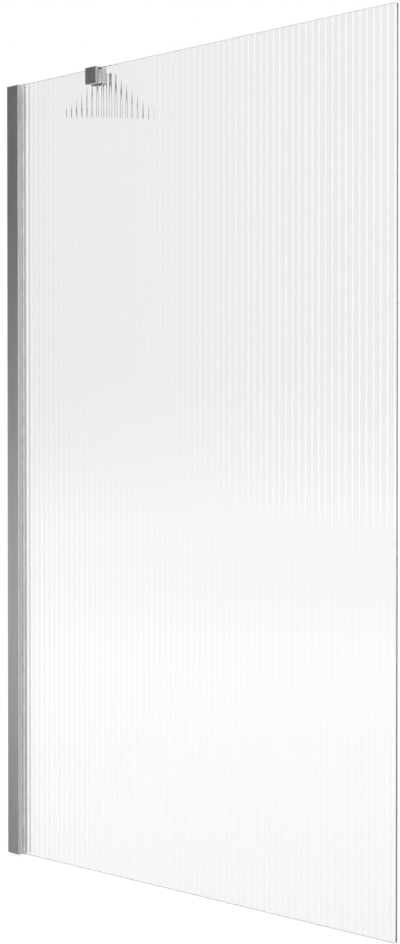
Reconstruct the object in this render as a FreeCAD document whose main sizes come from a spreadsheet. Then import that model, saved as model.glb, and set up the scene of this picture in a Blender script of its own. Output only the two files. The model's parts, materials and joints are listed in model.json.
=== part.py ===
"""A fixed bath screen: one sheet of fluted glass in a wall profile, with a brace at its top edge.

The frame: the origin is on the wall, at the middle of the wall profile's foot. X runs from the wall to
the free edge of the glass, -Y is the room, +Y is the bath, and Z is up. Sizes are in millimetres.
"""
import FreeCAD
import Part
import math
import os
import Sketcher
from FreeCAD import Placement, Rotation, Vector

SIZES = {
    # the whole screen
    "screen_width": 850.0,        # wall to free edge, as photographed
    "screen_height": 1400.0,
    # the glass
    "glass_thick": 8.0,           # flat inner face to the crests of the flutes
    "flute_pitch": 12.85,
    "flute_depth": 0.95,          # crest to valley
    "corner_radius": 5.0,         # the two free corners
    # the adjusting profile, which shows
    "profile_depth": 29.5,        # how far it stands out from the wall
    "profile_width": 26.0,
    "profile_wall": 1.6,
    "profile_drop": 1.5,          # from the top of the glass down to the profile's cap
    "wall_gap": 0.5,              # keeps its edges off the tiles
    "gasket_thick": 1.5,
    "glass_end_gap": 1.0,
    "gasket_inset": 0.4,
    # its top cap
    "cap_thick": 1.5,
    "plug_length": 4.0,
    "plug_gap": 0.3,
    "plug_clear": 0.5,
    # the wall profile, which is hidden
    "web_thick": 2.0,
    "flange_thick": 1.6,
    "flange_clear": 1.4,          # its edges stop short of the lips round the glass
    "slide_gap": 0.25,
    "travel": 12.0,
    "fixing_radius": 2.75,
    "fixing_margin": 150.0,
    # the screws that lock the adjusting profile
    "lock_margin": 200.0,
    "lock_room": 10.4,            # from the wall profile's web to the back of the glass pocket
    "lock_radius": 2.0,
    "lock_gap": 0.3,
    "lock_head_radius": 3.9,
    "lock_head_thick": 2.4,
    "lock_socket": 1.45,          # across the corners of the hexagon, halved
    "lock_socket_depth": 1.4,
    "lock_cap_wall": 1.1,
    "lock_cap_bevel": 1.0,
    "nut_plate_thick": 2.0,
    "nut_plate_height": 14.0,
    # the glass clamp
    "clamp_distance": 214.5,      # wall to its middle
    "clamp_width": 27.0,
    "clamp_drop": 27.0,           # how far it reaches below the top of the glass
    "clamp_bridge": 1.2,
    "bridge_gap": 0.2,
    "clamp_edge": 0.6,
    "front_jaw": 6.3,
    "rear_jaw": 8.0,
    "pad_thick": 1.0,
    "pad_inset": 1.0,
    "plate_thick": 1.5,
    "jaw_gap": 2.0,
    "set_screw_radius": 2.0,
    "set_screw_gap": 0.1,
    "set_screw_offset": 8.0,
    "set_screw_rise": 4.5,
    "set_screw_length": 9.0,
    "set_screw_socket": 1.15,
    # the two forks
    "brace_drop": 12.5,           # top of the glass down to the middle of the brace
    "fork_height": 16.0,
    "fork_width": 16.0,
    "ear_thick": 4.0,
    "fork_base": 4.0,
    "root_clear": 1.0,            # between the brace and the root of the slot
    "bracket_base": 6.0,
    "bracket_width": 22.0,
    "bracket_hole_radius": 2.25,
    "bracket_sink_radius": 3.9,
    "bracket_sink_depth": 1.7,
    "fork_screw_radius": 2.5,
    "fork_screw_gap": 0.1,
    "fork_screw_stop": 0.4,       # left of the fork's base past the screw's thread
    "fork_screw_head": 4.7,
    "fork_screw_sink": 2.4,
    # the pivots
    "pivot_radius": 3.0,
    "pivot_gap": 0.05,
    "pivot_head_radius": 4.5,
    "pivot_head_thick": 1.5,
    "pivot_flush": 0.2,
    "pivot_socket": 2.0,
    "washer_radius": 6.0,
    "washer_thick": 0.6,
    "washer_gap": 0.15,
    # the brace
    "brace_angle": 45.0,          # between the brace and the glass, seen from above
    "tube_size": 14.0,
    "tube_wall": 1.5,
    "tube_round": 1.5,
    "shoulder_clear": 1.2,        # between the fork's nose and the brace's shoulder
    "shoulder_length": 4.0,
    "spigot_length": 20.0,
    "spigot_gap": 0.1,
    "grub_inset": 10.0,
    "grub_radius": 2.0,
    "grub_gap": 0.05,
    "grub_length": 5.0,
    "grub_socket": 1.15,
    "grub_flush": 0.2,
}

document = FreeCAD.newDocument("bath_screen")
sheet = document.addObject("Spreadsheet::Sheet", "Sizes")
for row, (alias, size) in enumerate(SIZES.items(), start=1):
    sheet.set(f"A{row}", alias)
    sheet.set(f"B{row}", str(size))
    sheet.setAlias(f"B{row}", alias)
document.recompute()

# Places that several pieces share, worked out from the sheet.
GLASS_BACK = "Sizes.glass_thick / 2"
GLASS_FRONT = "-Sizes.glass_thick / 2"
POCKET_HALF = "(Sizes.glass_thick / 2 + Sizes.gasket_thick)"
POCKET_OUTER = f"({POCKET_HALF} + Sizes.profile_wall)"
POCKET_BACK = "(Sizes.web_thick + Sizes.lock_room)"
POCKET_FLOOR = f"({POCKET_BACK} + Sizes.profile_wall)"
LIP_INNER = "(Sizes.profile_depth - Sizes.profile_wall)"
SIDE_OUTER = "(Sizes.profile_width / 2)"
SIDE_INNER = f"({SIDE_OUTER} - Sizes.profile_wall)"
FLANGE_OUTER = f"({SIDE_INNER} - Sizes.slide_gap)"
FLANGE_INNER = f"({FLANGE_OUTER} - Sizes.flange_thick)"
FLANGE_END = f"({LIP_INNER} - Sizes.flange_clear)"
PROFILE_TOP = "(Sizes.screen_height - Sizes.profile_drop - Sizes.cap_thick)"
PLUG_FOOT = f"({PROFILE_TOP} - Sizes.plug_length)"
WALL_PROFILE_TOP = f"({PLUG_FOOT} - Sizes.plug_clear)"
MIDDLE = "Sizes.screen_height / 2"
LOCK_X = "(Sizes.web_thick + Sizes.lock_room / 2)"
LOCK_LEVELS = ("Sizes.lock_margin", MIDDLE, "(Sizes.screen_height - Sizes.lock_margin)")
FIXING_LEVELS = ("Sizes.fixing_margin", MIDDLE, "(Sizes.screen_height - Sizes.fixing_margin)")

CLAMP_LEFT = "(Sizes.clamp_distance - Sizes.clamp_width / 2)"
CLAMP_FOOT = "(Sizes.screen_height - Sizes.clamp_drop)"
SLOT_ROOF = "(Sizes.screen_height + Sizes.bridge_gap)"
CLAMP_HEIGHT = "(Sizes.clamp_drop + Sizes.bridge_gap + Sizes.clamp_bridge)"
FRONT_PAD_FACE = f"({GLASS_FRONT} - Sizes.pad_thick)"
CLAMP_FRONT = f"({FRONT_PAD_FACE} - Sizes.front_jaw)"
REAR_PAD_FACE = f"({GLASS_BACK} + Sizes.pad_thick)"
PLATE_FACE = f"({REAR_PAD_FACE} + Sizes.plate_thick)"
REAR_JAW_FACE = f"({PLATE_FACE} + Sizes.jaw_gap)"
CLAMP_BACK = f"({REAR_JAW_FACE} + Sizes.rear_jaw)"

BRACE_LEVEL = "(Sizes.screen_height - Sizes.brace_drop)"
FORK_BITE = "(Sizes.fork_base - Sizes.fork_screw_stop)"
PIVOT_STAND = "(Sizes.tube_size / 2 + Sizes.root_clear)"
CLAMP_PIVOT_Y = f"({CLAMP_BACK} + Sizes.fork_base + {PIVOT_STAND})"
WALL_PIVOT_X = f"(Sizes.bracket_base + {PIVOT_STAND})"
BRACE_RUN = f"(Sizes.clamp_distance - {WALL_PIVOT_X})"
WALL_PIVOT_Y = f"({CLAMP_PIVOT_Y} + {BRACE_RUN} * tan(Sizes.brace_angle))"
PIVOT_SPACING = f"({BRACE_RUN} / cos(Sizes.brace_angle))"
SHOULDER_START = "(Sizes.fork_width / 2 + Sizes.shoulder_clear)"
SHOULDER_END = f"({SHOULDER_START} + Sizes.shoulder_length)"
TUBE_LENGTH = f"({PIVOT_SPACING} - 2 * {SHOULDER_END})"
SLOT_HALF = "(Sizes.fork_height / 2 - Sizes.ear_thick)"
TONGUE_HALF = f"({SLOT_HALF} - Sizes.washer_thick - Sizes.washer_gap)"
SPIGOT_SIZE = "(Sizes.tube_size - 2 * Sizes.tube_wall - 2 * Sizes.spigot_gap)"

UPRIGHT = Rotation()
ALONG_X = Rotation(Vector(0, 1, 0), 90)
ALONG_Y = Rotation(Vector(1, 0, 0), -90)
XYZ = "xyz"


def value(alias):
    """A driving dimension, read from the sheet."""
    return float(getattr(sheet, alias))


def bind(item, formulas):
    """Tie an object's properties to the sheet."""
    for path, formula in formulas.items():
        item.setExpression(path, formula)


def place(item, at, turn=UPRIGHT):
    """Put an object at a place given by three formulas."""
    item.Placement = Placement(Vector(), turn)
    bind(item, {f"Placement.Base.{axis}": formula for axis, formula in zip(XYZ, at)})
    return item


def block(name, low, size):
    """A rectangular block, from its low corner."""
    item = document.addObject("Part::Box", name)
    bind(item, dict(zip(("Length", "Width", "Height"), size)))
    return place(item, low)


def rod(name, start, radius, length, turn=UPRIGHT):
    """A round rod, from the middle of its first end."""
    item = document.addObject("Part::Cylinder", name)
    bind(item, {"Radius": radius, "Height": length})
    return place(item, start, turn)


def taper(name, start, first, last, length, turn=UPRIGHT):
    """A cone's frustum, from the middle of its first end."""
    item = document.addObject("Part::Cone", name)
    bind(item, {"Radius1": first, "Radius2": last, "Height": length})
    return place(item, start, turn)


def hexagon(name, start, radius, length, turn=UPRIGHT):
    """A hexagonal recess for a key."""
    item = document.addObject("Part::Prism", name)
    item.Polygon = 6
    bind(item, {"Circumradius": radius, "Height": length})
    return place(item, start, turn)


def join(name, pieces):
    """One solid from overlapping or touching ones."""
    item = document.addObject("Part::MultiFuse", name)
    item.Shapes = pieces
    item.Refine = True
    return item


def cut(name, base, tools):
    """A solid less one or more tools."""
    item = document.addObject("Part::Cut", name)
    item.Base = base
    item.Tool = tools[0] if len(tools) == 1 else join(f"{name}_tools", tools)
    item.Refine = True
    return item


def group(name, pieces):
    """Alike pieces that share one node."""
    item = document.addObject("Part::Compound", name)
    item.Links = pieces
    return item


def new_body(name):
    """An empty PartDesign body."""
    return document.addObject("PartDesign::Body", name)


def new_sketch(body, role, name, offset="0"):
    """A sketch on one of a body's own origin planes."""
    plane = next(item for item in body.Origin.OriginFeatures if item.Role == role)
    sketch = body.newObject("Sketcher::SketchObject", name)
    sketch.AttachmentSupport = (plane, [""])
    sketch.MapMode = "FlatFace"
    bind(sketch, {"AttachmentOffset.Base.z": offset})
    return sketch


def tie_point(sketch, geometry, vertex, x, y):
    """Fix a point of a sketch at two formulas."""
    for kind, formula in (("DistanceX", x), ("DistanceY", y)):
        number = sketch.addConstraint(Sketcher.Constraint(kind, -1, 1, geometry, vertex, 1.0))
        bind(sketch, {f"Constraints[{number}]": formula})


def outline(sketch, points):
    """A closed outline of straight lines through points given as formulas."""
    count = len(points)
    angles = [2 * math.pi * number / count for number in range(count)]
    rough = [Vector(math.cos(angle), math.sin(angle), 0) for angle in angles]
    for number in range(count):
        sketch.addGeometry(Part.LineSegment(rough[number], rough[(number + 1) % count]))
    for number in range(count):
        following = (number + 1) % count
        sketch.addConstraint(Sketcher.Constraint("Coincident", number, 2, following, 1))
    for number, (x, y) in enumerate(points):
        tie_point(sketch, number, 1, x, y)


def oblong(sketch, low, high):
    """A closed rectangle between two corners."""
    outline(sketch, [(low[0], low[1]), (high[0], low[1]), (high[0], high[1]), (low[0], high[1])])


def circle(sketch, radius, x, y):
    """A circle of a sketch, tied to the sheet."""
    number = sketch.addGeometry(Part.Circle(Vector(), Vector(0, 0, 1), 1.0))
    ring = sketch.addConstraint(Sketcher.Constraint("Radius", number, 1.0))
    bind(sketch, {f"Constraints[{ring}]": radius})
    tie_point(sketch, number, 3, x, y)


def pad(body, sketch, name, length, middle=False):
    """A sketch pushed out into a solid."""
    feature = body.newObject("PartDesign::Pad", name)
    feature.Profile = sketch
    feature.Midplane = middle
    bind(feature, {"Length": length})
    return feature


def pocket_through(body, sketch, name):
    """A sketch cut right through the solid, both ways."""
    feature = body.newObject("PartDesign::Pocket", name)
    feature.Profile = sketch
    feature.Type = "ThroughAll"
    feature.Midplane = True
    return feature


def edges_along(shape, direction):
    """The names of a shape's straight edges that run along a direction."""
    names = []
    for number, edge in enumerate(shape.Edges, start=1):
        run = edge.Vertexes[-1].Point - edge.Vertexes[0].Point
        if run.Length > 0 and abs(run.normalize().dot(direction)) > 0.999:
            names.append(f"Edge{number}")
    return names


def build_wall_profile():
    """The U section on the wall, with its fixing holes and the slots for the lock screws."""
    body = new_body("wall_profile_section")
    section = new_sketch(body, "XY_Plane", "wall_profile_outline")
    outline(section, [
        ("0", f"-{FLANGE_OUTER}"),
        (FLANGE_END, f"-{FLANGE_OUTER}"),
        (FLANGE_END, f"-{FLANGE_INNER}"),
        ("Sizes.web_thick", f"-{FLANGE_INNER}"),
        ("Sizes.web_thick", FLANGE_INNER),
        (FLANGE_END, FLANGE_INNER),
        (FLANGE_END, FLANGE_OUTER),
        ("0", FLANGE_OUTER),
    ])
    pad(body, section, "wall_profile_run", WALL_PROFILE_TOP)
    tools = []
    for number, level in enumerate(FIXING_LEVELS, start=1):
        tools.append(rod(f"fixing_hole_{number}", ("-1", "0", level), "Sizes.fixing_radius",
                         "Sizes.web_thick + 2", ALONG_X))
    slot_radius = "(Sizes.lock_radius + Sizes.lock_gap)"
    slot_start = f"({FLANGE_INNER} - 1)"
    slot_length = "(Sizes.flange_thick + 2)"
    for number, level in enumerate(LOCK_LEVELS, start=1):
        for end, x in (("near", LOCK_X), ("far", f"{LOCK_X} + Sizes.travel")):
            tools.append(rod(f"lock_slot_{number}_{end}", (x, slot_start, level), slot_radius,
                             slot_length, ALONG_Y))
        low = (LOCK_X, slot_start, f"{level} - {slot_radius}")
        tools.append(block(f"lock_slot_{number}", low, ("Sizes.travel", slot_length, f"2 * {slot_radius}")))
    return cut("wall_profile", body, tools)


def build_adjusting_profile():
    """The section that slides over the wall profile and holds the glass in its pocket."""
    body = new_body("adjusting_profile_section")
    section = new_sketch(body, "XY_Plane", "adjusting_profile_outline")
    outline(section, [
        ("Sizes.wall_gap", f"-{SIDE_OUTER}"),
        ("Sizes.profile_depth", f"-{SIDE_OUTER}"),
        ("Sizes.profile_depth", f"-{POCKET_HALF}"),
        (POCKET_FLOOR, f"-{POCKET_HALF}"),
        (POCKET_FLOOR, POCKET_HALF),
        ("Sizes.profile_depth", POCKET_HALF),
        ("Sizes.profile_depth", SIDE_OUTER),
        ("Sizes.wall_gap", SIDE_OUTER),
        ("Sizes.wall_gap", SIDE_INNER),
        (LIP_INNER, SIDE_INNER),
        (LIP_INNER, POCKET_OUTER),
        (POCKET_BACK, POCKET_OUTER),
        (POCKET_BACK, f"-{POCKET_OUTER}"),
        (LIP_INNER, f"-{POCKET_OUTER}"),
        (LIP_INNER, f"-{SIDE_INNER}"),
        ("Sizes.wall_gap", f"-{SIDE_INNER}"),
    ])
    pad(body, section, "adjusting_profile_run", PROFILE_TOP)
    holes = [
        rod(f"lock_hole_{number}", (LOCK_X, f"{SIDE_INNER} - 1", level),
            "Sizes.lock_radius + Sizes.lock_gap", "Sizes.profile_wall + 2", ALONG_Y)
        for number, level in enumerate(LOCK_LEVELS, start=1)
    ]
    return cut("adjusting_profile", body, holes)


def build_top_cap():
    """A plate over the end of the profile, open round the glass, with two plugs below it."""
    body = new_body("profile_top_cap")
    face = new_sketch(body, "XY_Plane", "cap_outline", PROFILE_TOP)
    outline(face, [
        ("Sizes.wall_gap", f"-{SIDE_OUTER}"),
        ("Sizes.profile_depth", f"-{SIDE_OUTER}"),
        ("Sizes.profile_depth", f"-{POCKET_HALF}"),
        (POCKET_FLOOR, f"-{POCKET_HALF}"),
        (POCKET_FLOOR, POCKET_HALF),
        ("Sizes.profile_depth", POCKET_HALF),
        ("Sizes.profile_depth", SIDE_OUTER),
        ("Sizes.wall_gap", SIDE_OUTER),
    ])
    pad(body, face, "cap_plate", "Sizes.cap_thick")
    plugs = new_sketch(body, "XY_Plane", "plug_outlines", PLUG_FOOT)
    near, far = f"({POCKET_OUTER} + Sizes.plug_gap)", f"({SIDE_INNER} - Sizes.plug_gap)"
    start, end = "(Sizes.web_thick + Sizes.plug_gap)", f"({LIP_INNER} - Sizes.plug_gap)"
    oblong(plugs, (start, near), (end, far))
    pad(body, plugs, "plug_rear", "Sizes.plug_length")
    mirrored = new_sketch(body, "XY_Plane", "plug_outline_front", PLUG_FOOT)
    oblong(mirrored, (start, f"-{far}"), (end, f"-{near}"))
    pad(body, mirrored, "plug_front", "Sizes.plug_length")
    return body


def flute_edges(right, left, front, depth, pitch):
    """The fluted edge of the glass's section, from its free edge back to its last crest.

    Crests and valleys are equal arcs, tangent where they meet, a quarter of a pitch either side of a
    crest. The free edge is at the middle of a valley.
    """
    half_chord = pitch / 4
    rise = depth / 2
    radius = (half_chord ** 2 + rise ** 2) / (2 * rise)

    def point(centre, offset, floor, sign):
        """A point of an arc beside its middle: the sign is 1 for a crest and -1 for a valley."""
        return Vector(centre + offset, floor + sign * (radius - math.sqrt(radius ** 2 - offset ** 2)), 0)

    def arc(centre, start, end, floor, sign):
        """An arc about a crest or a valley, between two offsets from its middle."""
        points = [point(centre, offset, floor, sign) for offset in (start, (start + end) / 2, end)]
        return Part.Arc(*points).toShape()

    edges = []
    last = int((right - left) / pitch - 0.5)
    for number in range(last + 1):
        valley = right - number * pitch
        start = 0 if number == 0 else half_chord
        edges.append(arc(valley, start, -half_chord, front + depth, -1))
        end = 0 if number == last else -half_chord
        edges.append(arc(valley - pitch / 2, half_chord, end, front, 1))
    return edges


def build_glass():
    """The pane: a fluted section run up its height, with its two free corners rounded."""
    right, height = value("screen_width"), value("screen_height")
    left = value("web_thick") + value("lock_room") + value("profile_wall") + value("glass_end_gap")
    back = value("glass_thick") / 2
    flutes = flute_edges(right, left, -back, value("flute_depth"), value("flute_pitch"))
    corners = [
        flutes[-1].Vertexes[-1].Point,
        Vector(left, -back, 0),
        Vector(left, back, 0),
        Vector(right, back, 0),
        flutes[0].Vertexes[0].Point,
    ]
    sides = [Part.LineSegment(start, end).toShape() for start, end in zip(corners, corners[1:])]
    pane = Part.Face(Part.Wire(flutes + sides)).extrude(Vector(0, 0, height))
    plate = Part.makeBox(right - left + 1, 4 * back, height, Vector(left - 1, -2 * back, 0))
    free_corners = [
        edge for edge in plate.Edges
        if all(abs(vertex.X - right) < 0.001 for vertex in edge.Vertexes)
        and abs(edge.Vertexes[0].Z - edge.Vertexes[1].Z) < 0.001
    ]
    item = document.addObject("Part::Feature", "glass_panel")
    item.Shape = pane.common(plate.makeFillet(value("corner_radius"), free_corners)).Solids[0]
    return item


def build_gaskets():
    """The two strips that grip the glass in its pocket."""
    length = f"(Sizes.profile_depth - {POCKET_FLOOR} - 2 * Sizes.gasket_inset)"
    start = f"({POCKET_FLOOR} + Sizes.gasket_inset)"
    size = (length, "Sizes.gasket_thick", PROFILE_TOP)
    return [
        block("glazing_gasket_front", (start, f"-{POCKET_HALF}", "0"), size),
        block("glazing_gasket_rear", (start, GLASS_BACK, "0"), size),
    ]


def build_lock_sets():
    """The screws through the rear of the adjusting profile, their nut plates and their covers."""
    screws, plates, caps = [], [], []
    plate_near = f"({FLANGE_INNER} - Sizes.lock_gap - Sizes.nut_plate_thick)"
    plate_size = ("Sizes.lock_room - 2 * Sizes.lock_gap", "Sizes.nut_plate_thick", "Sizes.nut_plate_height")
    for number, level in enumerate(LOCK_LEVELS, start=1):
        shank = rod(f"lock_shank_{number}", (LOCK_X, plate_near, level), "Sizes.lock_radius",
                    f"{SIDE_OUTER} - {plate_near}", ALONG_Y)
        head = rod(f"lock_head_{number}", (LOCK_X, SIDE_OUTER, level), "Sizes.lock_head_radius",
                   "Sizes.lock_head_thick", ALONG_Y)
        socket_start = f"({SIDE_OUTER} + Sizes.lock_head_thick - Sizes.lock_socket_depth)"
        socket = hexagon(f"lock_socket_{number}", (LOCK_X, socket_start, level), "Sizes.lock_socket",
                         "Sizes.lock_socket_depth + 1", ALONG_Y)
        screws.append(cut(f"lock_screw_{number}", join(f"lock_blank_{number}", [shank, head]), [socket]))

        low = ("Sizes.web_thick + Sizes.lock_gap", plate_near, f"{level} - Sizes.nut_plate_height / 2")
        thread = rod(f"nut_thread_{number}", (LOCK_X, f"{plate_near} - 1", level),
                     "Sizes.lock_radius + Sizes.pivot_gap", "Sizes.nut_plate_thick + 2", ALONG_Y)
        plates.append(cut(f"nut_plate_{number}", block(f"nut_blank_{number}", low, plate_size), [thread]))

        inside = "(Sizes.lock_head_radius + Sizes.lock_gap)"
        outside = f"({inside} + Sizes.lock_cap_wall)"
        roof = "(Sizes.lock_head_thick + Sizes.lock_gap)"
        skirt = rod(f"cap_skirt_{number}", (LOCK_X, SIDE_OUTER, level), outside, roof, ALONG_Y)
        crown = taper(f"cap_crown_{number}", (LOCK_X, f"{SIDE_OUTER} + {roof}", level), outside,
                      f"{outside} - Sizes.lock_cap_bevel", "Sizes.lock_cap_wall", ALONG_Y)
        hollow = rod(f"cap_hollow_{number}", (LOCK_X, f"{SIDE_OUTER} - 1", level), inside,
                     f"{roof} + 1", ALONG_Y)
        caps.append(cut(f"lock_cap_{number}", join(f"cap_blank_{number}", [skirt, crown]), [hollow]))
    return [group("lock_screws", screws), group("lock_nut_plates", plates),
            group("lock_screw_caps", caps)]


def build_clamp_body():
    """The block that saddles the glass, with its holes for the set screws and for the fork's screw."""
    body = new_body("clamp_block")
    face = new_sketch(body, "XY_Plane", "clamp_outline", CLAMP_FOOT)
    oblong(face, (CLAMP_LEFT, CLAMP_FRONT), (f"{CLAMP_LEFT} + Sizes.clamp_width", CLAMP_BACK))
    solid = pad(body, face, "clamp_solid", CLAMP_HEIGHT)
    document.recompute()
    edges = body.newObject("PartDesign::Chamfer", "clamp_edges")
    edges.Base = (solid, [f"Edge{number}" for number in range(1, len(solid.Shape.Edges) + 1)])
    bind(edges, {"Size": "Sizes.clamp_edge"})
    slot = new_sketch(body, "YZ_Plane", "glass_slot", "Sizes.clamp_distance")
    oblong(slot, (FRONT_PAD_FACE, f"{CLAMP_FOOT} - 1"), (REAR_JAW_FACE, SLOT_ROOF))
    pocket_through(body, slot, "glass_slot_cut")
    tools = []
    for side, sign in (("left", "-"), ("right", "+")):
        start = (f"Sizes.clamp_distance {sign} Sizes.set_screw_offset", f"{REAR_JAW_FACE} - 1",
                 f"{CLAMP_FOOT} + Sizes.set_screw_rise")
        tools.append(rod(f"set_screw_hole_{side}", start, "Sizes.set_screw_radius + Sizes.set_screw_gap",
                         "Sizes.rear_jaw + 2", ALONG_Y))
    middle = ("Sizes.clamp_distance", f"{REAR_JAW_FACE} - 1", BRACE_LEVEL)
    tools.append(rod("fork_screw_hole", middle, "Sizes.fork_screw_radius + Sizes.fork_screw_gap",
                     "Sizes.rear_jaw + 2", ALONG_Y))
    sink = ("Sizes.clamp_distance", REAR_JAW_FACE, BRACE_LEVEL)
    tools.append(taper("fork_screw_sink", sink, "Sizes.fork_screw_head + Sizes.fork_screw_gap",
                       "Sizes.fork_screw_radius + Sizes.fork_screw_gap", "Sizes.fork_screw_sink", ALONG_Y))
    return cut("clamp_body", body, tools)


def build_clamp_grip():
    """The pads, the pressure plate and the set screws that grip the glass in the clamp."""
    left = f"({CLAMP_LEFT} + Sizes.pad_inset)"
    foot = f"({CLAMP_FOOT} + Sizes.pad_inset)"
    width = "(Sizes.clamp_width - 2 * Sizes.pad_inset)"
    height = "(Sizes.clamp_drop - 2 * Sizes.pad_inset)"
    pads = [
        block("clamp_front_pad", (left, FRONT_PAD_FACE, foot), (width, "Sizes.pad_thick", height)),
        block("clamp_rear_pad", (left, GLASS_BACK, foot), (width, "Sizes.pad_thick", height)),
        block("clamp_pressure_plate", (left, REAR_PAD_FACE, foot), (width, "Sizes.plate_thick", height)),
    ]
    screws = []
    for side, sign in (("left", "-"), ("right", "+")):
        x = f"(Sizes.clamp_distance {sign} Sizes.set_screw_offset)"
        level = f"({CLAMP_FOOT} + Sizes.set_screw_rise)"
        stem = rod(f"set_screw_stem_{side}", (x, PLATE_FACE, level), "Sizes.set_screw_radius",
                   "Sizes.set_screw_length", ALONG_Y)
        start = f"({PLATE_FACE} + Sizes.set_screw_length - 2 * Sizes.set_screw_socket)"
        socket = hexagon(f"set_screw_socket_{side}", (x, start, level), "Sizes.set_screw_socket",
                         "2 * Sizes.set_screw_socket + 1", ALONG_Y)
        screws.append(cut(f"set_screw_{side}", stem, [socket]))
    return pads + [group("clamp_set_screws", screws)]


def fork(name, base_length, base_width, holes):
    """A fork that reaches along its own X from the middle of its back face, with its pivot upright."""
    low = "-Sizes.fork_height / 2"
    pivot = f"({base_length} + {PIVOT_STAND})"
    base = block(f"{name}_base", ("0", f"-{base_width} / 2", low),
                 (base_length, base_width, "Sizes.fork_height"))
    ears = block(f"{name}_ears", ("0", "-Sizes.fork_width / 2", low),
                 (pivot, "Sizes.fork_width", "Sizes.fork_height"))
    nose = rod(f"{name}_nose", (pivot, "0", low), "Sizes.fork_width / 2", "Sizes.fork_height")
    slot = block(f"{name}_slot", (base_length, f"-{base_width}", f"-{SLOT_HALF}"),
                 (f"{PIVOT_STAND} + Sizes.fork_width", f"2 * {base_width}", f"2 * {SLOT_HALF}"))
    bore = rod(f"{name}_bore", (pivot, "0", f"{low} - 1"), "Sizes.pivot_radius + Sizes.pivot_gap",
               "Sizes.fork_height + 2")
    recess = rod(f"{name}_recess", (pivot, "0", "Sizes.fork_height / 2 - Sizes.pivot_head_thick"),
                 "Sizes.pivot_head_radius + Sizes.pivot_gap", "Sizes.pivot_head_thick + 1")
    return cut(name, join(f"{name}_blank", [base, ears, nose]), [slot, bore, recess] + holes)


def build_clamp_fork():
    """The fork on the back of the clamp, and the screw that holds it from inside the clamp."""
    thread = rod("clamp_fork_thread", ("-1", "0", "0"), "Sizes.fork_screw_radius + Sizes.pivot_gap",
                 f"{FORK_BITE} + 1", ALONG_X)
    item = fork("clamp_fork", "Sizes.fork_base", "Sizes.fork_width", [thread])
    place(item, ("Sizes.clamp_distance", CLAMP_BACK, BRACE_LEVEL), Rotation(Vector(0, 0, 1), 90))
    start = ("Sizes.clamp_distance", REAR_JAW_FACE, BRACE_LEVEL)
    shank = rod("fork_screw_shank", start, "Sizes.fork_screw_radius",
                f"Sizes.rear_jaw + {FORK_BITE} - Sizes.fork_screw_gap", ALONG_Y)
    head = taper("fork_screw_cone", start, "Sizes.fork_screw_head", "Sizes.fork_screw_radius",
                 "Sizes.fork_screw_sink", ALONG_Y)
    key_start = ("Sizes.clamp_distance", f"{REAR_JAW_FACE} - 1", BRACE_LEVEL)
    key = hexagon("fork_screw_key", key_start, "Sizes.lock_socket", "Sizes.fork_screw_sink", ALONG_Y)
    return [item, cut("clamp_fork_screw", join("fork_screw_blank", [shank, head]), [key])]


def build_wall_fork():
    """The fork on the wall, with the countersunk hole for its wall screw."""
    hole = rod("bracket_hole", ("-1", "0", "0"), "Sizes.bracket_hole_radius",
               "Sizes.bracket_base + 2", ALONG_X)
    start = ("Sizes.bracket_base - Sizes.bracket_sink_depth", "0", "0")
    sink = taper("bracket_sink", start, "Sizes.bracket_hole_radius", "Sizes.bracket_sink_radius",
                 "Sizes.bracket_sink_depth", ALONG_X)
    item = fork("wall_fork", "Sizes.bracket_base", "Sizes.bracket_width", [hole, sink])
    return place(item, ("0", WALL_PIVOT_Y, BRACE_LEVEL))


def build_pivot(name, x, y):
    """A pivot screw down through a fork, with a washer above and below the tongue."""
    bottom = f"({BRACE_LEVEL} - Sizes.fork_height / 2 + Sizes.pivot_flush)"
    top = f"({BRACE_LEVEL} + Sizes.fork_height / 2 - Sizes.pivot_flush)"
    seat = f"({BRACE_LEVEL} + Sizes.fork_height / 2 - Sizes.pivot_head_thick)"
    shank = rod(f"{name}_shank", (x, y, bottom), "Sizes.pivot_radius", f"{seat} - {bottom}")
    head = rod(f"{name}_head", (x, y, seat), "Sizes.pivot_head_radius", f"{top} - {seat}")
    socket = hexagon(f"{name}_socket", (x, y, f"{top} - Sizes.pivot_socket"), "Sizes.pivot_socket",
                     "Sizes.pivot_socket + 1")
    screw = cut(f"{name}_screw", join(f"{name}_blank", [shank, head]), [socket])
    washers = []
    for side, level in (("low", f"{BRACE_LEVEL} - {SLOT_HALF}"),
                        ("high", f"{BRACE_LEVEL} + {SLOT_HALF} - Sizes.washer_thick")):
        disc = rod(f"{name}_disc_{side}", (x, y, level), "Sizes.washer_radius", "Sizes.washer_thick")
        bore = rod(f"{name}_eye_{side}", (x, y, f"{level} - 1"), "Sizes.pivot_radius + Sizes.pivot_gap",
                   "Sizes.washer_thick + 2")
        washers.append(cut(f"{name}_washer_{side}", disc, [bore]))
    return [screw, group(f"{name}_washers", washers)]


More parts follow.
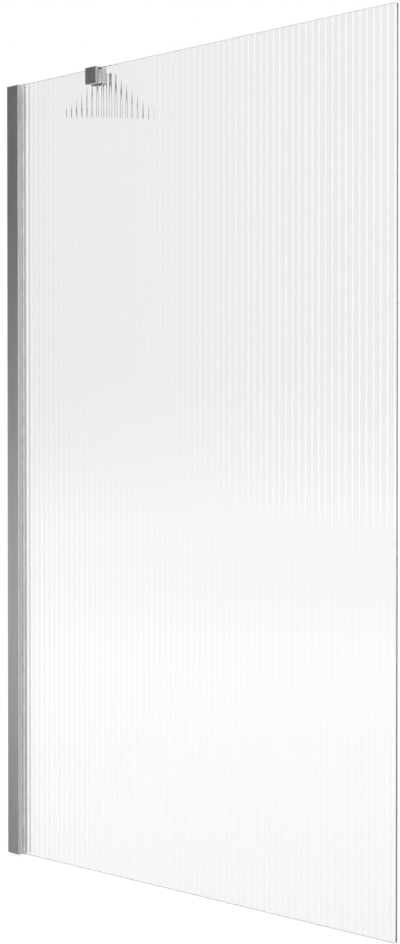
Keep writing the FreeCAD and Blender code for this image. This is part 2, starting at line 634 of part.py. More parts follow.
def build_brace_end(name, x, y, heading):
    """A tongue on its pivot, a shoulder the size of the tube, and a spigot inside the tube."""
    half = "Sizes.tube_size / 2"
    eye = rod(f"{name}_eye", ("0", "0", f"-{TONGUE_HALF}"), half, f"2 * {TONGUE_HALF}")
    tongue = block(f"{name}_tongue", ("0", f"-{half}", f"-{TONGUE_HALF}"),
                   (SHOULDER_START, "Sizes.tube_size", f"2 * {TONGUE_HALF}"))
    shoulder = block(f"{name}_shoulder", (SHOULDER_START, f"-{half}", f"-{half}"),
                     ("Sizes.shoulder_length", "Sizes.tube_size", "Sizes.tube_size"))
    spigot = block(f"{name}_spigot", (SHOULDER_END, f"-{SPIGOT_SIZE} / 2", f"-{SPIGOT_SIZE} / 2"),
                   ("Sizes.spigot_length", SPIGOT_SIZE, SPIGOT_SIZE))
    bore = rod(f"{name}_bore", ("0", "0", f"-{TONGUE_HALF} - 1"), "Sizes.pivot_radius + Sizes.pivot_gap",
               f"2 * {TONGUE_HALF} + 2")
    thread = rod(f"{name}_thread", (f"{SHOULDER_END} + Sizes.grub_inset", "0", f"-{half}"),
                 "Sizes.grub_radius + Sizes.grub_gap", "Sizes.grub_length + 2 * Sizes.grub_flush")
    item = cut(name, join(f"{name}_blank", [eye, tongue, shoulder, spigot]), [bore, thread])
    place(item, (x, y, BRACE_LEVEL), Rotation(Vector(0, 0, 1), 90))
    bind(item, {"Placement.Rotation.Angle": heading})
    return item


def build_tube():
    """The square tube between the two shoulders, with a hole below each grub screw."""
    body = new_body("brace_tube")
    half = "Sizes.tube_size / 2"
    inner = f"({half} - Sizes.tube_wall)"
    section = new_sketch(body, "YZ_Plane", "tube_outline", SHOULDER_END)
    oblong(section, (f"-{half}", f"-{half}"), (half, half))
    solid = pad(body, section, "tube_run", TUBE_LENGTH)
    document.recompute()
    corners = body.newObject("PartDesign::Fillet", "tube_corners")
    corners.Base = (solid, edges_along(solid.Shape, Vector(1, 0, 0)))
    bind(corners, {"Radius": "Sizes.tube_round"})
    hollow = new_sketch(body, "YZ_Plane", "tube_hollow", SHOULDER_END)
    oblong(hollow, (f"-{inner}", f"-{inner}"), (inner, inner))
    pocket_through(body, hollow, "tube_hollow_cut")
    holes = new_sketch(body, "XY_Plane", "grub_holes")
    radius = "Sizes.grub_radius + 2 * Sizes.grub_gap"
    circle(holes, radius, f"{SHOULDER_END} + Sizes.grub_inset", "0")
    circle(holes, radius, f"{PIVOT_SPACING} - {SHOULDER_END} - Sizes.grub_inset", "0")
    lower = body.newObject("PartDesign::Pocket", "grub_holes_cut")
    lower.Profile = holes
    bind(lower, {"Length": "Sizes.tube_size"})
    place(body, ("Sizes.clamp_distance", CLAMP_PIVOT_Y, BRACE_LEVEL), Rotation(Vector(0, 0, 1), 90))
    bind(body, {"Placement.Rotation.Angle": "180 - Sizes.brace_angle"})
    return body


def build_grub_screws():
    """The two screws that hold the tube on its ends, from below."""
    reach = f"({SHOULDER_END} + Sizes.grub_inset)"
    along = f"({PIVOT_SPACING} - {reach})"
    low = f"({BRACE_LEVEL} - Sizes.tube_size / 2 + Sizes.grub_flush)"
    screws = []
    for end, distance in (("glass", reach), ("wall", along)):
        x = f"(Sizes.clamp_distance - {distance} * cos(Sizes.brace_angle))"
        y = f"({CLAMP_PIVOT_Y} + {distance} * sin(Sizes.brace_angle))"
        stem = rod(f"grub_stem_{end}", (x, y, low), "Sizes.grub_radius", "Sizes.grub_length")
        socket = hexagon(f"grub_socket_{end}", (x, y, f"{low} - 1"), "Sizes.grub_socket",
                         "2 * Sizes.grub_socket + 1")
        screws.append(cut(f"grub_screw_{end}", stem, [socket]))
    return group("brace_grub_screws", screws)


def build_screen():
    """Every piece of the screen, each one a node of its own."""
    clamp_pivot = ("Sizes.clamp_distance", CLAMP_PIVOT_Y)
    wall_pivot = (WALL_PIVOT_X, WALL_PIVOT_Y)
    nodes = [build_wall_profile(), build_adjusting_profile(), build_top_cap(), build_glass()]
    nodes += build_gaskets()
    nodes += build_lock_sets()
    nodes.append(build_clamp_body())
    nodes += build_clamp_grip()
    nodes += build_clamp_fork()
    nodes += build_pivot("clamp_pivot", *clamp_pivot)
    nodes.append(build_tube())
    nodes.append(build_brace_end("brace_end_glass", *clamp_pivot, "180 - Sizes.brace_angle"))
    nodes.append(build_brace_end("brace_end_wall", *wall_pivot, "360 - Sizes.brace_angle"))
    nodes.append(build_grub_screws())
    nodes.append(build_wall_fork())
    nodes += build_pivot("wall_pivot", *wall_pivot)
    return nodes


def check(nodes):
    """Stop if anything failed to build."""
    for item in document.Objects:
        if {"Invalid", "Error"} & set(item.State):
            raise RuntimeError(f"{item.Name} failed: {item.State}")
    for node in nodes:
        if node.Shape.isNull() or not node.Shape.isValid() or not node.Shape.Solids:
            raise RuntimeError(f"{node.Label} has no valid solid")


def export(nodes):
    """Write each piece to its own file."""
    os.makedirs("parts", exist_ok=True)
    for node in nodes:
        node.Shape.exportStep(f"parts/{node.Label}.step")
        print(f"{node.Label}: {len(node.Shape.Solids)} solid(s), {node.Shape.Volume / 1000:.2f} cm3")


screen_nodes = build_screen()
document.recompute()
check(screen_nodes)
export(screen_nodes)
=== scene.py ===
"""A fixed bath screen: fluted glass in a slim wall profile, with a clamp and a brace at its top edge.

Metres, in the row frame: X from the wall to the free edge of the glass, -Y the room, +Y the bath, Z up.
"""

import json
import math

import bpy
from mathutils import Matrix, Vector

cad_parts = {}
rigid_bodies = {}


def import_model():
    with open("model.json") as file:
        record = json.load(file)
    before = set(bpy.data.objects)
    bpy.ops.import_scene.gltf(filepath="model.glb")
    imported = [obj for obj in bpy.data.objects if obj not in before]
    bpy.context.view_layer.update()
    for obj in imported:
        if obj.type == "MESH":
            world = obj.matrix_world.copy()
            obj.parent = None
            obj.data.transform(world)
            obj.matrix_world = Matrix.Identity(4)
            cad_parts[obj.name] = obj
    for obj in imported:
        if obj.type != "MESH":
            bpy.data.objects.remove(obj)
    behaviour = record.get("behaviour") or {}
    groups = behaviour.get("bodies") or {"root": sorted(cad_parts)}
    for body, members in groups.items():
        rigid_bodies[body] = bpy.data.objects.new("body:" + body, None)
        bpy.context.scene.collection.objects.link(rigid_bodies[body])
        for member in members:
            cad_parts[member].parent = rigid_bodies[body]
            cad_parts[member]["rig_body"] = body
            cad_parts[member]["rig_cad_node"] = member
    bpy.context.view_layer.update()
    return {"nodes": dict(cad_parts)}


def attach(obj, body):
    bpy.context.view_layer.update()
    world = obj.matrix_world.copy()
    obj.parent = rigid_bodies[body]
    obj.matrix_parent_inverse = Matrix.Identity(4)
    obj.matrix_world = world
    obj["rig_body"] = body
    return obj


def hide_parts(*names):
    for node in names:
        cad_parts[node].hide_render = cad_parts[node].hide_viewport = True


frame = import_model()
NODES = frame["nodes"]

# The pane, as its section is drawn in the part's source.
GLASS_FRONT = -0.004              # the crests of the flutes
GLASS_BACK = 0.004
GLASS_LEFT = 0.015
GLASS_RIGHT = 0.85
GLASS_TOP = 1.4
FLUTE_PITCH = 0.01285
FLUTE_DEPTH = 0.00095
FLUTE_COUNT = 64
ARC_STEPS = 6                     # in a quarter of a flute
CORNER_RADIUS = 0.005
ARRIS = 0.0004
SHEET_HEIGHT = GLASS_TOP + 0.02   # of the fluted face, before it is trimmed
SPARE = 0.01                      # what is trimmed off past each end
GROUND_DEPTH = 0.0003             # how far in the ground edges' look reaches
GROUND_FULL = 0.0001

# The clamp block: its sides, its slot for the glass, and its screws.
CLAMP_X = 0.2145
CLAMP_LEFT = CLAMP_X - 0.0135
CLAMP_RIGHT = CLAMP_X + 0.0135
CLAMP_FRONT = -0.0113
CLAMP_BACK = 0.0165
CLAMP_FOOT = 1.373
CLAMP_TOP = 1.4014
SLOT_FRONT = -0.005
SLOT_BACK = 0.0085
SLOT_TOP = 1.4002
SET_SCREW_APART = 0.008           # from the block's middle
SET_SCREW_Z = 1.3775
FORK_SCREW_Z = 1.3875
SET_SCREW_BORE = 0.0021           # radii
FORK_SCREW_BORE = 0.0026
SINK_MOUTH = 0.0048
SINK_DEPTH = 0.0024
BLOCK_ROUNDING = 0.0006
BORE_ARRIS = 0.00015
PAST = 0.001                      # how far a cutter reaches past what it cuts
ROUND = 40                        # sides of a round cutter
TURNED_BACK = (-math.pi / 2, 0, 0)    # a round cutter, laid along +Y

MERGE = 1e-6                      # points closer than this become one

# Finishes.
METAL_GREY = (0.27, 0.27, 0.274)
SATIN = {"roughness": 0.32, "spread": 0.12, "depth": 0.00003}
PROFILE_HIGHLIGHT_FROM = 0.029              # where the cut end faces of the profile begin; past it they get a painted highlight
# Past this the clamp's side face toward the free edge gets a painted highlight.
CLAMP_HIGHLIGHT_FROM = CLAMP_RIGHT - 0.0004
GLASS_TINT = (0.864, 0.868, 0.867, 1.0)
GROUND_TINT = (0.68, 0.70, 0.69, 1.0)
OPEN_TINT = (0.935, 0.938, 0.937, 1.0)

# The stage.
FLOOR_Z = -0.004
FLOOR_WHITE = 1.1                 # the floor's own glow, which its lit part brings down to white
SOFT_LIGHT = 0.75
BRIGHTEST = 5.0
# What gloss mirrors of the studio, as heights of a direction and levels. It is pale below and dim above in
# front of the screen, and the other way round behind it. In front it is bright from straight ahead to +X,
# with a shade low down towards the wall.
AHEAD = [(-1.0, 0.8), (-0.34, 0.9), (-0.22, 2.1), (-0.13, 2.4), (-0.05, 2.1), (0.0, 0.9), (0.045, 0.35),
         (0.4, 0.35), (0.8, 0.9)]
BEHIND = [(-1.0, 0.6), (-0.1, 0.6), (0.06, 1.5), (1.0, 1.2)]
BRIGHT = [(-1.0, 0.8), (-0.34, 0.9), (-0.1, 2.2), (-0.06, 3.0), (-0.03, 4.6), (0.0, 4.0), (0.06, 3.2),
          (0.4, 3.2), (0.6, 0.9)]
SHADE = [(-1.0, 0.0), (-0.4, 0.5), (-0.26, 1.8), (-0.18, 1.9), (-0.1, 0.0), (1.0, 0.0)]
# Where each of them comes in, from none to all, along a direction's X, and its Y for what is behind.
BRIGHT_EDGE = (-0.29, -0.19)
SHADE_EAST = (-0.6, -0.66)
SHADE_WEST = (-0.86, -0.8)
BEHIND_EDGE = (-0.2, 0.3)


class Value:
    """A socket in a node tree, with Python's arithmetic."""

    def __init__(self, tree, socket):
        self.tree = tree
        self.socket = socket

    def node(self, kind, settings=None, inputs=None, output=0):
        """Add a node: its settings first, then the values or links of its sockets."""
        node = self.tree.nodes.new(kind)
        for name, setting in (settings or {}).items():
            if name == "stops":
                set_stops(node.color_ramp, setting)
            else:
                setattr(node, name, setting)
        for name, given in (inputs or {}).items():
            if isinstance(given, Value):
                self.tree.links.new(given.socket, node.inputs[name])
            else:
                node.inputs[name].default_value = given
        return Value(self.tree, node.outputs[output]) if node.outputs else None

    def math(self, operation, *operands):
        """A Math node on numbers and other values."""
        return self.node("ShaderNodeMath", {"operation": operation}, dict(enumerate(operands)))

    def __add__(self, other):
        return self.math("ADD", self, other)

    __radd__ = __add__

    def __sub__(self, other):
        return self.math("SUBTRACT", self, other)

    def __rsub__(self, other):
        return self.math("SUBTRACT", other, self)

    def __mul__(self, other):
        return self.math("MULTIPLY", self, other)

    __rmul__ = __mul__

    def larger(self, other):
        """The larger of two values."""
        return self.math("MAXIMUM", self, other)

    def between(self, low, high):
        """0 at low and 1 at high, with a soft start and end."""
        settings = {"interpolation_type": "SMOOTHSTEP"}
        return self.node("ShaderNodeMapRange", settings, {"Value": self, "From Min": low, "From Max": high})

    def blend(self, low, high):
        """A colour between two, by this value."""
        # The node's colour sockets share their names, so they go by number.
        inputs = {"Factor": self, 6: low, 7: high}
        return self.node("ShaderNodeMix", {"data_type": "RGBA"}, inputs, output=2)


def set_stops(ramp, stops):
    """Give a colour ramp its stops."""
    while len(ramp.elements) < len(stops):
        ramp.elements.new(1.0)
    for element, (place, colour) in zip(ramp.elements, stops):
        element.position = place
        element.color = colour


def grey(level):
    """A neutral colour."""
    return (level, level, level, 1.0)


def shades(colour, *levels):
    """A colour at other levels of brightness."""
    return [tuple(part * level for part in colour) + (1.0,) for level in levels]


def new_material(name):
    """An empty node material: its tree's start, for Value.node."""
    material = bpy.data.materials.new(name)
    material.use_nodes = True
    material.node_tree.nodes.clear()
    return material, Value(material.node_tree, None)


def finish_material(start, surface):
    """Link a shader to the material's output."""
    start.node("ShaderNodeOutputMaterial", inputs={"Surface": surface})


def axes_of(start, source, axes):
    """The object's own coordinates, or a direction in the world, one axis at a time."""
    place = start.node("ShaderNodeTexCoord", output=source)
    return [start.node("ShaderNodeSeparateXYZ", inputs={"Vector": place}, output=axis) for axis in axes]


def grain(start, scale, detail, turn=0.0):
    """Noise on the object's own coordinates, turned about the upright and scaled along each axis."""
    place = start.node("ShaderNodeTexCoord", output="Object")
    if turn:
        place = start.node("ShaderNodeMapping", inputs={"Vector": place, "Rotation": (0, 0, turn)})
    stretched = start.node("ShaderNodeMapping", inputs={"Vector": place, "Scale": scale})
    inputs = {"Vector": stretched, "Scale": 1.0, "Detail": detail, "Roughness": 0.55}
    return start.node("ShaderNodeTexNoise", inputs=inputs)


def bump(start, height, strength, distance):
    """A bump from a height, as a normal."""
    return start.node("ShaderNodeBump", inputs={"Height": height, "Strength": strength, "Distance": distance})


def brushed_metal(name, colour, scale, roughness, spread, depth, turn=0.0, painted_highlight_from=None, bright=0.52):
    """Satin metal, its fine lines along the axis of least scale; past a place in X its colour is lightened, a
    painted highlight.
    """
    material, start = new_material(name)
    lines = grain(start, scale, detail=3.0, turn=turn)
    cloud = grain(start, (9, 9, 9), detail=2.0)
    base = lines.between(0.3, 0.7).blend(*shades(colour, 0.93, 1.07))
    # Painted highlight: past the given place in X the base colour is lightened to a grey of that level.
    if painted_highlight_from:
        across, = axes_of(start, "Object", "X")
        base = across.between(painted_highlight_from, painted_highlight_from + 0.0003).blend(base, grey(bright))
    inputs = {
        "Base Color": base,
        "Metallic": 1.0,
        "Roughness": roughness + (lines - 0.5) * spread + (cloud - 0.5) * 0.06,
        "Normal": bump(start, lines, 0.35, depth),
    }
    finish_material(start, start.node("ShaderNodeBsdfPrincipled", inputs=inputs))
    return material


def plain_finish(name, colour, roughness, scale, depth):
    """Plastic or rubber with a fine moulded grain."""
    material, start = new_material(name)
    fine = grain(start, (scale, scale, scale), detail=3.0)
    broad = grain(start, (40, 40, 40), detail=2.0)
    inputs = {
        "Base Color": broad.between(0.3, 0.7).blend(*shades(colour, 0.9, 1.08)),
        "Roughness": roughness + (fine - 0.5) * 0.12,
        "Normal": bump(start, fine, 0.3, depth),
    }
    finish_material(start, start.node("ShaderNodeBsdfPrincipled", inputs=inputs))
    return material


def clear_glass(name):
    """Clear glass with a ground free edge and foot, which lets lamps and soft light through."""
    material, start = new_material(name)
    smear = grain(start, (6, 6, 3), detail=2.0)
    across, height = axes_of(start, "Object", "XZ")
    free_edge = across.between(GLASS_RIGHT - GROUND_DEPTH, GLASS_RIGHT - GROUND_FULL)
    foot = height.between(GROUND_DEPTH, GROUND_FULL)
    ground = free_edge.larger(foot)
    inputs = {
        "Base Color": ground.blend(GLASS_TINT, GROUND_TINT),
        "Roughness": (smear - 0.5).larger(0.0) * 0.02 + ground * 0.4,
        "IOR": 1.5,
        "Transmission Weight": 1.0,
        "Specular IOR Level": 0.8,
    }
    glass = start.node("ShaderNodeBsdfPrincipled", inputs=inputs)
    shadow = start.node("ShaderNodeLightPath", output="Is Shadow Ray")
    diffuse = start.node("ShaderNodeLightPath", output="Is Diffuse Ray")
    open_glass = start.node("ShaderNodeBsdfTransparent", inputs={"Color": OPEN_TINT})
    by_ray = {0: shadow.larger(diffuse), 1: glass, 2: open_glass}
    finish_material(start, start.node("ShaderNodeMixShader", inputs=by_ray))
    return material


def deselect():
    """Leave no object selected or active."""
    for item in bpy.context.selected_objects:
        item.select_set(False)
    bpy.context.view_layer.objects.active = None


def use(item):
    """Make one object the selected and active one."""
    deselect()
    item.select_set(True)
    bpy.context.view_layer.objects.active = item


def added(name):
    """Name the object that an operator has just added, and put its place in its mesh."""
    item = bpy.context.object
    item.name = item.data.name = name
    use(item)
    bpy.ops.object.transform_apply(location=True, rotation=True, scale=True)
    return item


def apply_modifier(item, kind, **settings):
    """Add a modifier and apply it."""
    use(item)
    modifier = item.modifiers.new(kind.title(), kind)
    for name, setting in settings.items():
        setattr(modifier, name, setting)
    bpy.ops.object.modifier_apply(modifier=modifier.name)


def shade(item):
    """Shade a piece smooth between its sharp edges, with its large faces kept flat."""
    use(item)
    bpy.ops.object.shade_smooth_by_angle(angle=math.radians(40.0))
    apply_modifier(item, "WEIGHTED_NORMAL", mode="FACE_AREA", weight=100, keep_sharp=True)


def soften(item, width, segments=3, angle=30.0):
    """Round a piece's edges."""
    apply_modifier(item, "BEVEL", width=width, segments=segments, limit_method="ANGLE",
                   angle_limit=math.radians(angle), use_clamp_overlap=False)


def finish_piece(item, node, material):
    """Give a piece its finish and the body of the CAD node that it stands for, and hide that node."""
    item.data.materials.clear()
    item.data.materials.append(material)
    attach(item, NODES[node]["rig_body"])
    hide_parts(node)


def refined(node, width):
    """A copy of a CAD node with its loose triangles merged and its edges rounded."""
    item = NODES[node].copy()
    item.data = NODES[node].data.copy()
    item.name = item.data.name = node + "_finished"
    item.parent = None
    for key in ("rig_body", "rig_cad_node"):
        del item[key]
    bpy.context.scene.collection.objects.link(item)
    use(item)
    bpy.ops.object.mode_set(mode="EDIT")
    bpy.ops.mesh.select_all(action="SELECT")
    bpy.ops.mesh.remove_doubles(threshold=MERGE)
    bpy.ops.mesh.dissolve_limited(angle_limit=math.radians(0.4))
    leave_edit()
    soften(item, width)
    shade(item)
    return item


def leave_edit():
    """Leave edit mode."""
    bpy.ops.object.mode_set(mode="OBJECT")


def pick(item, kind, test=None):
    """Select a piece's faces, edges or points, or those that pass a test, and go on editing it."""
    use(item)
    bpy.ops.object.mode_set(mode="EDIT")
    bpy.ops.mesh.select_mode(type="VERT")
    bpy.ops.mesh.select_all(action="DESELECT")
    leave_edit()
    for part in {"FACE": item.data.polygons, "EDGE": item.data.edges, "VERT": item.data.vertices}[kind]:
        part.select = not test or bool(test(part))
    bpy.ops.object.mode_set(mode="EDIT")
    bpy.ops.mesh.select_mode(type=kind)


def box(name, low, high):
    """A block between two corners."""
    deselect()
    middle = [(a + b) / 2 for a, b in zip(low, high)]
    bpy.ops.mesh.primitive_cube_add(size=1.0, location=middle, scale=[b - a for a, b in zip(low, high)])
    return added(name)


def bore(piece, across, height, radius):
    """Bore a piece from its slot through its back."""
    deselect()
    front, back = SLOT_BACK - PAST, CLAMP_BACK + PAST
    bpy.ops.mesh.primitive_cylinder_add(vertices=ROUND, radius=radius, depth=back - front,
                                        location=(across, (front + back) / 2, height),
                                        rotation=TURNED_BACK)
    combine(piece, added("bore"), "DIFFERENCE")


def combine(item, other, operation):
    """Keep what two closed pieces share, or take one from the other."""
    apply_modifier(item, "BOOLEAN", operation=operation, object=other, solver="EXACT")
    bpy.data.objects.remove(other)


def sweep_arc(quarters, turn, centre):
    """Sweep the selected upright edge about an upright axis: one or two quarters of a flute, either way."""
    bpy.ops.mesh.spin(steps=abs(quarters) * ARC_STEPS, angle=quarters * turn, center=centre, axis=(0, 0, -1),
                      use_auto_merge=False)


def lengthen(pane, beyond, value):
    """Draw out the upright edge of the fluted face that lies at one end."""
    points = pane.data.vertices
    pick(pane, "EDGE", lambda edge: all(beyond(points[i].co.x) for i in edge.vertices))
    bpy.ops.mesh.extrude_region_move(TRANSFORM_OT_translate={"value": (value, 0, 0)})
    leave_edit()


def make_fluted_block():
    """A block with the fluted face: one flute swept as three arcs, repeated, lengthened and given a back."""
    chord = FLUTE_PITCH / 4
    rise = FLUTE_DEPTH / 2
    radius = (chord ** 2 + rise ** 2) / (2 * rise)
    turn = math.asin(chord / radius)
    valley = GLASS_FRONT + FLUTE_DEPTH - radius
    crest = GLASS_FRONT + radius
    last = GLASS_RIGHT - (FLUTE_COUNT + 0.5) * FLUTE_PITCH
    near = 1e-5

    deselect()
    bpy.ops.mesh.primitive_plane_add(size=SHEET_HEIGHT, rotation=(math.pi / 2, 0, 0),
                                     location=(0, GLASS_FRONT + FLUTE_DEPTH, GLASS_TOP / 2))
    pane = added("fluted_pane")
    pick(pane, "VERT", lambda point: point.co.x < 0)
    bpy.ops.mesh.delete(type="VERT")
    bpy.ops.mesh.select_all(action="SELECT")
    bpy.ops.transform.translate(value=(GLASS_RIGHT - SHEET_HEIGHT / 2, 0, 0))
    sweep_arc(1, turn, (GLASS_RIGHT, valley, 0))
    sweep_arc(-2, turn, (GLASS_RIGHT - FLUTE_PITCH / 2, crest, 0))
    sweep_arc(1, turn, (GLASS_RIGHT - FLUTE_PITCH, valley, 0))
    leave_edit()
    apply_modifier(pane, "ARRAY", count=FLUTE_COUNT + 1, use_relative_offset=False, use_constant_offset=True,
                   constant_offset_displace=(-FLUTE_PITCH, 0, 0), use_merge_vertices=True,
                   merge_threshold=MERGE)
    pick(pane, "VERT")
    bpy.ops.mesh.bisect(plane_co=(last, 0, 0), plane_no=(-1, 0, 0), clear_outer=True)
    leave_edit()
    lengthen(pane, lambda across: across < last + near, -SPARE)
    lengthen(pane, lambda across: across > GLASS_RIGHT - near, SPARE)
    pick(pane, "FACE")
    bpy.ops.mesh.extrude_region_move(TRANSFORM_OT_translate={"value": (0, 2 * SPARE, 0)})
    bpy.ops.transform.resize(value=(1, 0, 1), center_override=(0, SPARE, 0))
    leave_edit()
    pick(pane, "FACE")
    bpy.ops.mesh.normals_make_consistent(inside=False)
    leave_edit()
    return pane


def make_pane():
    """The fluted pane: the fluted block trimmed to a plate with two round corners."""
    pane = make_fluted_block()
    plate = box("plate", (GLASS_LEFT, GLASS_FRONT - PAST, 0), (GLASS_RIGHT, GLASS_BACK, GLASS_TOP))
    corner = plate.data.vertices

    def free_corner(edge):
        start, end = (corner[i].co for i in edge.vertices)
        return min(start.x, end.x) > GLASS_RIGHT - SPARE and start.z == end.z

    pick(plate, "EDGE", free_corner)
    bpy.ops.mesh.bevel(offset=CORNER_RADIUS, segments=8)
    leave_edit()
    combine(pane, plate, "INTERSECT")
    soften(pane, ARRIS, segments=2, angle=50)
    shade(pane)
    return pane


def make_clamp_block():
    """The block that saddles the glass: rounded all over, slotted for the glass, bored for its screws."""
    block = box("clamp_block", (CLAMP_LEFT, CLAMP_FRONT, CLAMP_FOOT), (CLAMP_RIGHT, CLAMP_BACK, CLAMP_TOP))
    pick(block, "EDGE")
    bpy.ops.mesh.bevel(offset=BLOCK_ROUNDING, segments=3)
    leave_edit()
    slot = box("slot", (CLAMP_LEFT - SPARE, SLOT_FRONT, CLAMP_FOOT - SPARE),
               (CLAMP_RIGHT + SPARE, SLOT_BACK, SLOT_TOP))
    combine(block, slot, "DIFFERENCE")
    bore(block, CLAMP_X - SET_SCREW_APART, SET_SCREW_Z, SET_SCREW_BORE)
    bore(block, CLAMP_X + SET_SCREW_APART, SET_SCREW_Z, SET_SCREW_BORE)
    bore(block, CLAMP_X, FORK_SCREW_Z, FORK_SCREW_BORE)
    deselect()
    bpy.ops.mesh.primitive_cone_add(vertices=ROUND, radius1=SINK_MOUTH, radius2=FORK_SCREW_BORE,
                                    depth=SINK_DEPTH, rotation=TURNED_BACK,
                                    location=(CLAMP_X, SLOT_BACK + SINK_DEPTH / 2, FORK_SCREW_Z))
    combine(block, added("sink"), "DIFFERENCE")
    soften(block, BORE_ARRIS, segments=2, angle=60)
    shade(block)
    return block


def seen_by_eye(start):
    """1 for what the camera sees straight, in a gloss or through glass, and 1 for what a gloss mirrors."""
    seen = start.node("ShaderNodeLightPath", output="Is Camera Ray")
    gloss = start.node("ShaderNodeLightPath", output="Is Glossy Ray")
    through = start.node("ShaderNodeLightPath", output="Is Transmission Ray")
    return seen.larger(gloss).larger(through), gloss * (1.0 - through)


def by_height(start, height, stops):
    """A level of brightness for each height of a direction, -1 straight down and 1 straight up."""
    ramp = [((place + 1) / 2, grey(level / BRIGHTEST)) for place, level in stops]
    return start.node("ShaderNodeValToRGB", {"stops": ramp}, {"Fac": (height + 1.0) * 0.5}) * BRIGHTEST


def studio(start):
    """What gloss mirrors of the studio."""
    east, north, height = axes_of(start, "Generated", "XYZ")
    levels = [by_height(start, height, stops) for stops in (AHEAD, BEHIND, BRIGHT, SHADE)]
    ahead, behind, bright, shaded = levels
    at_bright = east.between(*BRIGHT_EDGE)
    at_shade = east.between(*SHADE_EAST) * east.between(*SHADE_WEST)
    ahead = ahead + at_bright * (bright - ahead)
    ahead = ahead - at_shade * shaded
    return ahead + north.between(*BEHIND_EDGE) * (behind - ahead)


def make_stage():
    """A pale floor, which keeps the screen's shadow and isn't mirrored."""
    deselect()
    bpy.ops.mesh.primitive_plane_add(size=14, location=(0, 0, FLOOR_Z))
    floor = added("floor")
    material, start = new_material("pale_floor")
    eye, mirrored = seen_by_eye(start)
    white = start.node("ShaderNodeEmission", inputs={"Color": grey(1.0), "Strength": FLOOR_WHITE})
    matt = start.node("ShaderNodeBsdfDiffuse", inputs={"Color": grey(0.9)})
    clear = start.node("ShaderNodeBsdfTransparent", inputs={"Color": grey(1.0)})
    pale = start.node("ShaderNodeMixShader", inputs={0: eye * 0.75, 1: matt, 2: white})
    finish_material(start, start.node("ShaderNodeMixShader", inputs={0: mirrored, 1: pale, 2: clear}))
    floor.data.materials.append(material)


def make_world():
    """Soft light from all round, and a white background."""
    world = bpy.data.worlds.new("studio")
    bpy.context.scene.world = world
    world.use_nodes = True
    world.node_tree.nodes.clear()
    start = Value(world.node_tree, None)
    eye, mirrored = seen_by_eye(start)
    level = 1.0 + mirrored * (studio(start) - 1.0)
    soft = start.node("ShaderNodeBackground", inputs={"Color": grey(1.0), "Strength": SOFT_LIGHT})
    white = start.node("ShaderNodeBackground", inputs={"Color": grey(1.0), "Strength": level})
    surface = start.node("ShaderNodeMixShader", inputs={0: eye, 1: soft, 2: white})
    start.node("ShaderNodeOutputWorld", inputs={"Surface": surface})


def add_lamp(name, place, power):
    """A soft square lamp, turned to the middle of the screen."""
    data = bpy.data.lights.new(name, "AREA")
    data.size = 2.0
    data.energy = power
    lamp = bpy.data.objects.new(name, data)
    lamp.location = place
    lamp.rotation_euler = (Vector((0.3, 0.0, 0.8)) - Vector(place)).to_track_quat("-Z", "Y").to_euler()
    lamp.visible_camera = lamp.visible_glossy = lamp.visible_transmission = False
    bpy.context.scene.collection.objects.link(lamp)


def add_camera():
    """The camera, where the photograph was taken from."""
    data = bpy.data.cameras.new("camera")
    data.lens = 61.613
    data.sensor_width = 36.0
    data.clip_start = 0.01
    camera = bpy.data.objects.new("camera", data)
    camera.location = (2.2176, -1.9944, 0.7336)
    camera.rotation_euler = (math.radians(90 - 0.718), 0.0, math.radians(41.420))
    bpy.context.scene.collection.objects.link(camera)
    bpy.context.scene.camera = camera


bpy.context.scene.view_settings.view_transform = "Standard"
add_camera()
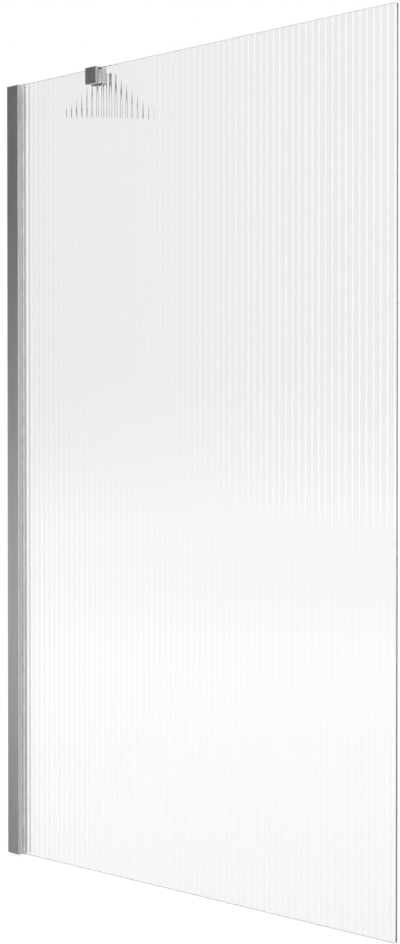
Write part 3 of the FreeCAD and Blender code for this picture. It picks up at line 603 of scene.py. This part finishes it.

# The profile's cut end faces get a painted highlight.
channel_metal = brushed_metal("brushed_aluminium", METAL_GREY, (900, 900, 12), roughness=0.34, spread=0.14,
                              depth=0.00004, painted_highlight_from=PROFILE_HIGHLIGHT_FROM)
# The clamp's side face toward the free edge gets a painted highlight.
clamp_metal = brushed_metal("satin_clamp", METAL_GREY, (500, 500, 60), **SATIN, painted_highlight_from=CLAMP_HIGHLIGHT_FROM,
                            bright=0.4)
fitting_metal = brushed_metal("satin_metal", METAL_GREY, (500, 500, 60), **SATIN)
brace_metal = brushed_metal("satin_tube", METAL_GREY, (12, 900, 900), **SATIN, turn=math.pi / 4)
screw_steel = brushed_metal("turned_steel", (0.6, 0.6, 0.59), (1500, 1500, 1500), roughness=0.28, spread=0.1,
                            depth=0.00002)
glass = clear_glass("clear_glass")
rubber = plain_finish("seal_rubber", (0.8, 0.8, 0.79), roughness=0.5, scale=900, depth=0.00004)
cap_plastic = plain_finish("cap_plastic", (0.34, 0.34, 0.345), roughness=0.5, scale=1400, depth=0.00003)
nylon = plain_finish("nylon", (0.82, 0.81, 0.78), roughness=0.45, scale=1400, depth=0.00002)

finish_piece(make_pane(), "glass_panel", glass)
finish_piece(make_clamp_block(), "clamp_body", clamp_metal)

# The other pieces: the CAD node, its slot, its finish and how far its edges are rounded.
REFINED = [
    ("wall_profile", "profile_metal", channel_metal, 0.0003),
    ("adjusting_profile", "profile_metal", channel_metal, 0.0003),
    ("profile_top_cap", "cap_plastic", cap_plastic, 0.0003),
    ("glazing_gasket_front", "gasket", rubber, 0.0003),
    ("glazing_gasket_rear", "gasket", rubber, 0.0003),
    ("lock_screws", "screw_steel", screw_steel, 0.0002),
    ("lock_nut_plates", "screw_steel", screw_steel, 0.0002),
    ("lock_screw_caps", "cap_plastic", cap_plastic, 0.0002),
    ("clamp_front_pad", "gasket", rubber, 0.0002),
    ("clamp_rear_pad", "gasket", rubber, 0.0002),
    ("clamp_pressure_plate", "screw_steel", screw_steel, 0.0002),
    ("clamp_set_screws", "screw_steel", screw_steel, 0.00015),
    ("clamp_fork", "fitting_metal", fitting_metal, 0.0003),
    ("clamp_fork_screw", "screw_steel", screw_steel, 0.00015),
    ("clamp_pivot_screw", "screw_steel", screw_steel, 0.00015),
    ("clamp_pivot_washers", "washer", nylon, 0.0001),
    ("brace_tube", "fitting_metal", brace_metal, 0.0003),
    ("brace_end_glass", "fitting_metal", brace_metal, 0.0003),
    ("brace_end_wall", "fitting_metal", brace_metal, 0.0003),
    ("brace_grub_screws", "screw_steel", screw_steel, 0.00015),
    ("wall_fork", "fitting_metal", fitting_metal, 0.0003),
    ("wall_pivot_screw", "screw_steel", screw_steel, 0.00015),
    ("wall_pivot_washers", "washer", nylon, 0.0001),
]
for node, slot, material, width in REFINED:
    finish_piece(refined(node, width), node, material)

make_stage()
make_world()
add_lamp("key_lamp", (2.2, -2.8, 3.2), 60)
add_lamp("fill_lamp", (-0.4, 3.0, 3.2), 40)
